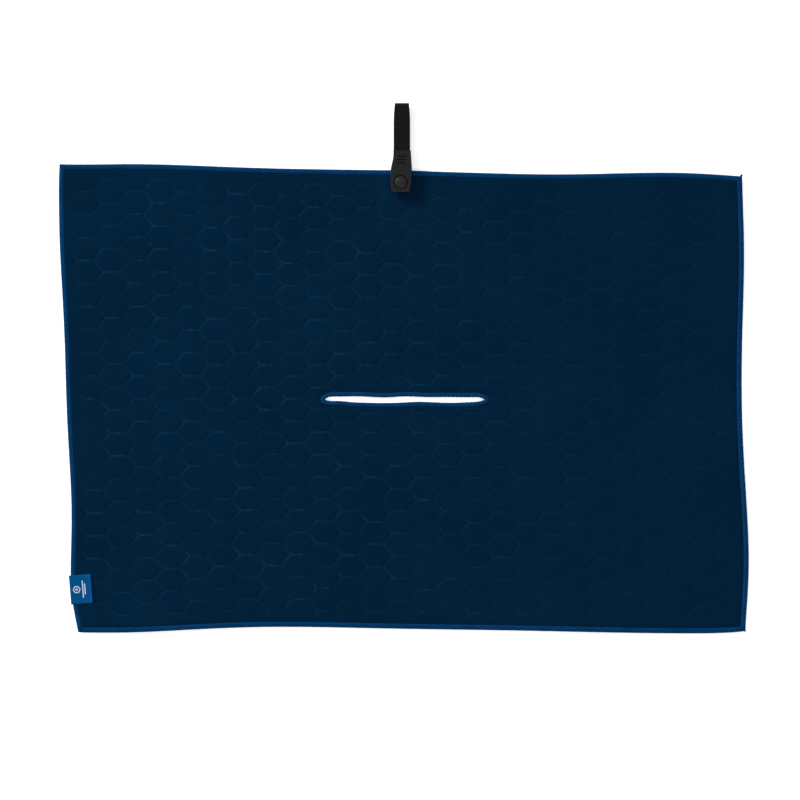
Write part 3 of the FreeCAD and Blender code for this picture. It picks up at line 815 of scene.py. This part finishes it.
# --- Materials ---
class Shader:
    """A node material under construction."""

    def __init__(self, name, colour, roughness, specular=0.5, sheen=0.0, metallic=0.0):
        self.material = bpy.data.materials.new(name)
        self.material.use_nodes = True
        self.nodes, self.links = self.material.node_tree.nodes, self.material.node_tree.links
        self.surface = self.nodes["Principled BSDF"]
        self.surface.inputs["Base Color"].default_value = (*colour, 1)
        self.surface.inputs["Roughness"].default_value = roughness
        self.surface.inputs["Specular IOR Level"].default_value = specular
        self.surface.inputs["Sheen Weight"].default_value = sheen
        self.surface.inputs["Metallic"].default_value = metallic

    def add(self, kind, **values):
        """A new node; each value is a property of it or one of its sockets."""
        node = self.nodes.new(kind)
        for key, value in values.items():
            if hasattr(node, key):
                setattr(node, key, value)
            else:
                node.inputs[key.replace("_", " ")].default_value = value
        return node

    def coordinates(self, kind="Object"):
        return self.add("ShaderNodeTexCoord").outputs[kind]

    def noise(self, scale, detail=2.0, vector=None):
        node = self.add("ShaderNodeTexNoise", Scale=scale, Detail=detail)
        self.links.new(vector or self.coordinates(), node.inputs["Vector"])
        return node.outputs["Fac"]

    def maths(self, operation, a, b=None):
        node = self.add("ShaderNodeMath", operation=operation)
        for socket, value in zip(node.inputs, (a, b)):
            if value is None:
                continue
            if isinstance(value, (int, float)):
                socket.default_value = value
            else:
                self.links.new(value, socket)
        return node.outputs[0]

    def mark(self, name):
        """A named value of the mesh."""
        return self.add("ShaderNodeAttribute", attribute_name=name).outputs["Fac"]

    def uv_parts(self):
        """The two parts of the texture plane's coordinates."""
        node = self.add("ShaderNodeSeparateXYZ")
        self.links.new(self.coordinates("UV"), node.inputs[0])
        return node.outputs[0], node.outputs[1]

    def blend_colour(self, amount, low, high):
        """Colour between two colours, or between a socket and a colour."""
        node = self.add("ShaderNodeMix", data_type="RGBA")
        colour_inputs = [s for s in node.inputs if s.type == "RGBA"]
        for socket, value in zip(colour_inputs, (low, high)):
            if isinstance(value, tuple):
                socket.default_value = (*value, 1)
            else:
                self.links.new(value, socket)
        factor = [s for s in node.inputs if s.name == "Factor" and s.type == "VALUE"][0]
        self.links.new(amount, factor)
        return [s for s in node.outputs if s.type == "RGBA"][0]

    def ramp(self, value, low, high):
        """0 below low and 1 above high."""
        node = self.add("ShaderNodeMapRange", From_Min=low, From_Max=high)
        self.links.new(value, node.inputs["Value"])
        return node.outputs["Result"]

    def colour_from(self, socket):
        self.links.new(socket, self.surface.inputs["Base Color"])

    def painted_crevice_shade(self, colour, dark, reach):
        """The colour with painted shade: darkened by an occlusion node in gaps narrower than reach."""
        node = self.add("ShaderNodeAmbientOcclusion", samples=8, Distance=reach)
        gap = self.ramp(node.outputs["AO"], 0.85, 0.35)
        return self.blend_colour(gap, colour, dark)

    def bump(self, height, strength, distance=0.2 * MM, under=None):
        """Bumps on the surface, over the ones in under."""
        node = self.add("ShaderNodeBump", Strength=strength, Distance=distance)
        self.links.new(height, node.inputs["Height"])
        if under is not None:
            self.links.new(under, node.inputs["Normal"])
        self.links.new(node.outputs[0], self.surface.inputs["Normal"])
        return node.outputs[0]


def once(make):
    """Makes a material the first time it is asked for."""
    made = {}

    def get():
        if "it" not in made:
            made["it"] = make()
        return made["it"]
    return get


@once
def microfibre():
    """Looped navy microfibre: matt, fuzzy, with a painted highlight along the embossed lines."""
    shader = Shader("microfibre", (0.0007, 0.0105, 0.028), 0.95, specular=0.0, sheen=0.05)
    shader.surface.inputs["Sheen Tint"].default_value = (0.02, 0.35, 0.85, 1)
    shader.surface.inputs["Sheen Roughness"].default_value = 0.6
    broad = shader.ramp(shader.noise(9, 3), 0.3, 0.7)
    fine = shader.ramp(shader.noise(900, 2), 0.3, 0.7)
    field = shader.blend_colour(broad, (0.00055, 0.0090, 0.0245), (0.00085, 0.0112, 0.0292))
    field = shader.blend_colour(shader.maths("MULTIPLY", fine, 0.3), field, (0.0011, 0.014, 0.037))
    # worn and broken: noise that breaks up the painted line highlight in patches
    worn = shader.ramp(shader.noise(30, 2), 0.34, 0.60)
    broken = shader.ramp(shader.noise(260, 2), 0.30, 0.55)
    faint = shader.maths("MULTIPLY", shader.mark("pressed_line_highlight"), shader.maths("MULTIPLY", worn, broken))
    # the painted highlight's colour, laid on the field along the embossed lines
    lines = shader.blend_colour(faint, field, (0.0040, 0.0225, 0.0520))
    shader.colour_from(lines)
    loops = shader.noise(1500, 2)
    tufts = shader.noise(420, 3)
    first = shader.bump(tufts, 0.5, 0.5 * MM)
    shader.bump(loops, 0.7, 0.25 * MM, first)
    return shader.material


@once
def hem_thread():
    """Fluffy overlock thread in brighter blue, with painted shade where one stitch dips under the next."""
    shader = Shader("hem_thread", (0.0012, 0.026, 0.080), 0.85, specular=0.0, sheen=0.05)
    shader.surface.inputs["Sheen Tint"].default_value = (0.1, 0.45, 1.0, 1)
    along, _ = shader.uv_parts()
    strands = shader.maths("SINE", shader.maths("MULTIPLY", along, 2 * math.pi * STITCH_STRANDS))
    strands = shader.ramp(strands, -1, 1)
    # painted shade in the dips between stitches, full colour on their crests
    shaded_between_ridges = shader.blend_colour(shader.mark("ridge"), (0.0009, 0.0175, 0.056), (0.0020, 0.0365, 0.112))
    patchy = shader.maths("MULTIPLY", shader.ramp(shader.noise(60, 3), 0.35, 0.7), 0.45)
    shader.colour_from(shader.blend_colour(patchy, shaded_between_ridges, (0.0008, 0.018, 0.057)))
    first = shader.bump(strands, 0.5, 0.25 * MM)
    shader.bump(shader.noise(2500, 2), 0.4, 0.15 * MM, first)
    return shader.material


@once
def ribbed_nylon():
    """Black webbing: painted shade between its ribs, with fine yarns along it."""
    shader = Shader("ribbed_nylon", (0.0055, 0.0055, 0.0053), 0.65, specular=0.06)
    _, across = shader.uv_parts()
    yarns = shader.maths("SINE", shader.maths("MULTIPLY", across, 2 * math.pi * 1.6))
    # painted shade between the ribs
    shaded_between_ridges = shader.blend_colour(shader.mark("ridge"), (0.0002, 0.0002, 0.0002), (0.0078, 0.0079, 0.0073))
    shader.colour_from(shader.blend_colour(shader.maths("MULTIPLY", shader.noise(300, 3), 0.4), shaded_between_ridges,
                                           (0.0032, 0.0032, 0.0031)))
    first = shader.bump(shader.ramp(yarns, -1, 1), 0.35, 0.12 * MM)
    shader.bump(shader.noise(3000, 2), 0.25, 0.08 * MM, first)
    return shader.material


@once
def label_satin():
    """Blue woven satin, with its weft and warp just showing."""
    shader = Shader("label_satin", (0.0015, 0.052, 0.16), 0.5, specular=0.008)
    across, up = shader.uv_parts()
    weft = shader.ramp(shader.maths("SINE", shader.maths("MULTIPLY", up, 2 * math.pi * 2.6)), -1, 1)
    warp = shader.ramp(shader.maths("SINE", shader.maths("MULTIPLY", across, 2 * math.pi * 1.7)), -1, 1)
    cell = shader.maths("MULTIPLY", weft, warp)
    shaded = shader.blend_colour(cell, (0.0009, 0.053, 0.166), (0.0015, 0.077, 0.222))
    shader.colour_from(shader.blend_colour(shader.maths("MULTIPLY", shader.noise(140, 3), 0.4), shaded,
                                           (0.0011, 0.061, 0.186)))
    first = shader.bump(weft, 0.4, 0.1 * MM)
    shader.bump(warp, 0.25, 0.08 * MM, first)
    return shader.material


def plain_thread(name, colour, rough=0.6):
    """Dull thread of one colour, a little uneven."""
    shader = Shader(name, colour, rough, specular=0.2, sheen=0.1)
    darker = tuple(c * 0.65 for c in colour)
    shader.colour_from(shader.blend_colour(shader.ramp(shader.noise(1200, 2), 0.3, 0.7), darker, colour))
    shader.bump(shader.noise(2600, 2), 0.5, 0.1 * MM)
    return shader.material


@once
def motif_thread():
    return plain_thread("motif_thread", (0.56, 0.64, 0.72))


@once
def label_thread():
    return plain_thread("label_thread", (0.012, 0.095, 0.26))


@once
def black_thread():
    return plain_thread("black_thread", (0.009, 0.009, 0.009))


@once
def tab_plastic():
    """Satin moulded plastic with a fine spark texture, faint handling marks and painted shade in its grooves
    and gaps.
    """
    shader = Shader("tab_plastic", (0.014, 0.0142, 0.014), 0.5, specular=0.12)
    wear = shader.ramp(shader.noise(180, 4), 0.35, 0.75)
    worn = shader.blend_colour(wear, (0.0080, 0.0081, 0.0081), (0.0112, 0.0114, 0.0114))
    # painted shade in the tab's grooves and the gaps round it
    shader.colour_from(shader.painted_crevice_shade(worn, (0.0008, 0.0008, 0.0008), 1.6 * MM))
    rough = shader.ramp(shader.noise(260, 3), 0.2, 0.9)
    low_high = shader.add("ShaderNodeMapRange", To_Min=0.42, To_Max=0.6)
    shader.links.new(rough, low_high.inputs["Value"])
    shader.links.new(low_high.outputs["Result"], shader.surface.inputs["Roughness"])
    shader.bump(shader.noise(3500, 2), 0.2, 0.06 * MM)
    return shader.material


@once
def cap_plastic():
    """Moulded plastic, smoother and greyer than the tab's, with light wear and painted shade in its gaps."""
    shader = Shader("cap_plastic", (0.016, 0.016, 0.015), 0.4, specular=0.16)
    wear = shader.ramp(shader.noise(420, 4), 0.4, 0.8)
    worn = shader.blend_colour(wear, (0.0105, 0.0105, 0.0100), (0.0175, 0.0175, 0.0163))
    # painted shade in the gaps round the cap
    shader.colour_from(shader.painted_crevice_shade(worn, (0.0010, 0.0010, 0.0010), 1.6 * MM))
    shader.bump(shader.noise(1800, 3), 0.12, 0.05 * MM)
    return shader.material


@once
def black_oxide():
    """Blackened metal, worn bright in places."""
    shader = Shader("black_oxide", (0.055, 0.056, 0.06), 0.35, metallic=1.0)
    wear = shader.ramp(shader.noise(700, 4), 0.45, 0.8)
    shader.colour_from(shader.blend_colour(wear, (0.045, 0.046, 0.05), (0.12, 0.115, 0.105)))
    shader.bump(shader.noise(2200, 2), 0.15, 0.04 * MM)
    return shader.material


@once
def spring_steel():
    """Bright spring steel."""
    shader = Shader("spring_steel", (0.45, 0.45, 0.46), 0.25, metallic=1.0)
    shader.colour_from(shader.blend_colour(shader.noise(1500, 2), (0.38, 0.38, 0.39), (0.52, 0.52, 0.53)))
    shader.bump(shader.noise(4000, 2), 0.1, 0.02 * MM)
    return shader.material


NODE_LOOKS = {"moulded_tab": (tab_plastic, "tab_plastic"), "snap_cap": (cap_plastic, "snap_plastic"),
              "snap_socket": (black_oxide, "snap_metal"), "snap_stud": (black_oxide, "snap_metal"),
              "snap_post": (black_oxide, "snap_metal"), "snap_spring": (spring_steel, "spring_steel"),
              "strap_bartack": (black_thread, "black_thread")}


def dress_nodes():
    """Materials for the CAD nodes that show as they are."""
    for name, (look, slot_name) in NODE_LOOKS.items():
        node = frame["nodes"][name]
        node.data.materials.clear()
        node.data.materials.append(look())


# --- Scene ---
def plain(name, colour, rough):
    """Plain paint that gives off a little light."""
    shader = Shader(name, colour, rough, specular=0.1)
    shade = tuple(c * 0.985 for c in colour)
    shader.colour_from(shader.blend_colour(shader.noise(3, 2), shade, colour))
    shader.surface.inputs["Emission Color"].default_value = (1, 1, 1, 1)
    shader.surface.inputs["Emission Strength"].default_value = FLOOR_GLOW
    return shader.material


def floor():
    """The floor, just under the towel."""
    bpy.ops.mesh.primitive_plane_add(size=FLOOR_SIZE, location=(0, 0, FLOOR_Z))
    ground = bpy.context.object
    ground.name = "floor"
    ground.data.materials.append(plain("floor_paint", (0.93, 0.93, 0.93), 0.9))


def softbox(name, place, aim, size, power):
    """A square light at place that faces aim."""
    light = bpy.data.lights.new(name, "AREA")
    light.shape = "SQUARE"
    light.size = size
    light.energy = power
    lamp = bpy.data.objects.new(name, light)
    lamp.location = place
    lamp.rotation_euler = (Vector(aim) - Vector(place)).to_track_quat("-Z", "Y").to_euler()
    bpy.context.scene.collection.objects.link(lamp)


def lights():
    """Low light from the upper left, a weak fill and an even sky."""
    softbox("key", place=(-3.3, 2.9, 1.5), aim=(0, 0, 0), size=1.0, power=330)
    softbox("fill", place=(0.9, -1.2, 1.9), aim=(0, 0, 0), size=1.8, power=14)
    world = bpy.data.worlds.new("studio")
    bpy.context.scene.world = world
    world.use_nodes = True
    world.node_tree.nodes["Background"].inputs["Color"].default_value = (1, 1, 1, 1)
    world.node_tree.nodes["Background"].inputs["Strength"].default_value = SKY
    bpy.context.scene.view_settings.view_transform = "Standard"


def camera():
    """A long lens, straight above."""
    data = bpy.data.cameras.new("camera")
    data.lens, data.sensor_width = LENS, SENSOR
    eye = bpy.data.objects.new("camera", data)
    away = FIELD_W * LENS / SENSOR + CLOTH_TOP
    eye.location = (SLOT_MIDDLE_X + VIEW_OFF_SLOT.x, FOLD_Y + VIEW_OFF_SLOT.y, away)
    bpy.context.scene.collection.objects.link(eye)
    bpy.context.scene.camera = eye


def build():
    """Every piece, the body it moves with and the nodes it stands for."""
    towel = cloth()
    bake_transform(towel, UPPER, LOWER, (0, FOLD_Y + FOLD_ZONE, 0), (0, FOLD_Y - FOLD_ZONE, 0))
    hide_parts("cloth_upper_half", "cloth_lower_half")

    outside, inside = overlock()
    for piece, nodes in ((outside, [*TOP, *BOTTOM, *LEFT, *RIGHT]),
                         (inside, ["slot_overlock_upper", "slot_overlock_lower"])):
        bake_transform(piece, UPPER, LOWER, (0, FOLD_Y + FOLD_ZONE, 0), (0, FOLD_Y - FOLD_ZONE, 0))
        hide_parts(*nodes)

    tails = [("chain_tail_top_left", TL, (-0.95, 0.3), 2.5, 4.2, UPPER),
             ("chain_tail_top_right", TR, (0.12, 0.99), 2.8, 6.4, UPPER),
             ("chain_tail_bottom_right", BR, (0.95, -0.3), 2.5, 4.6, LOWER)]
    for name, corner, heading, back, length, body in tails:
        tail = chain_tail(name, corner, heading, back * MM, length * MM)
        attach(tail, body)

    web, rear_top, front_bottom = webbing()
    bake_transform(web, UPPER, FRONT, (STRAP_X, 0, rear_top), (STRAP_X, 0, front_bottom))
    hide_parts("strap_rear_leg", "strap_crown", "strap_front_leg")

    wrap = label()
    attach(wrap, LOWER)
    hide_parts("woven_label")
    mark = motif()
    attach(mark, LOWER)
    seam = label_seam()
    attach(seam, LOWER)
    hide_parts("label_stitches")


build()
dress_nodes()
floor()
lights()
camera()
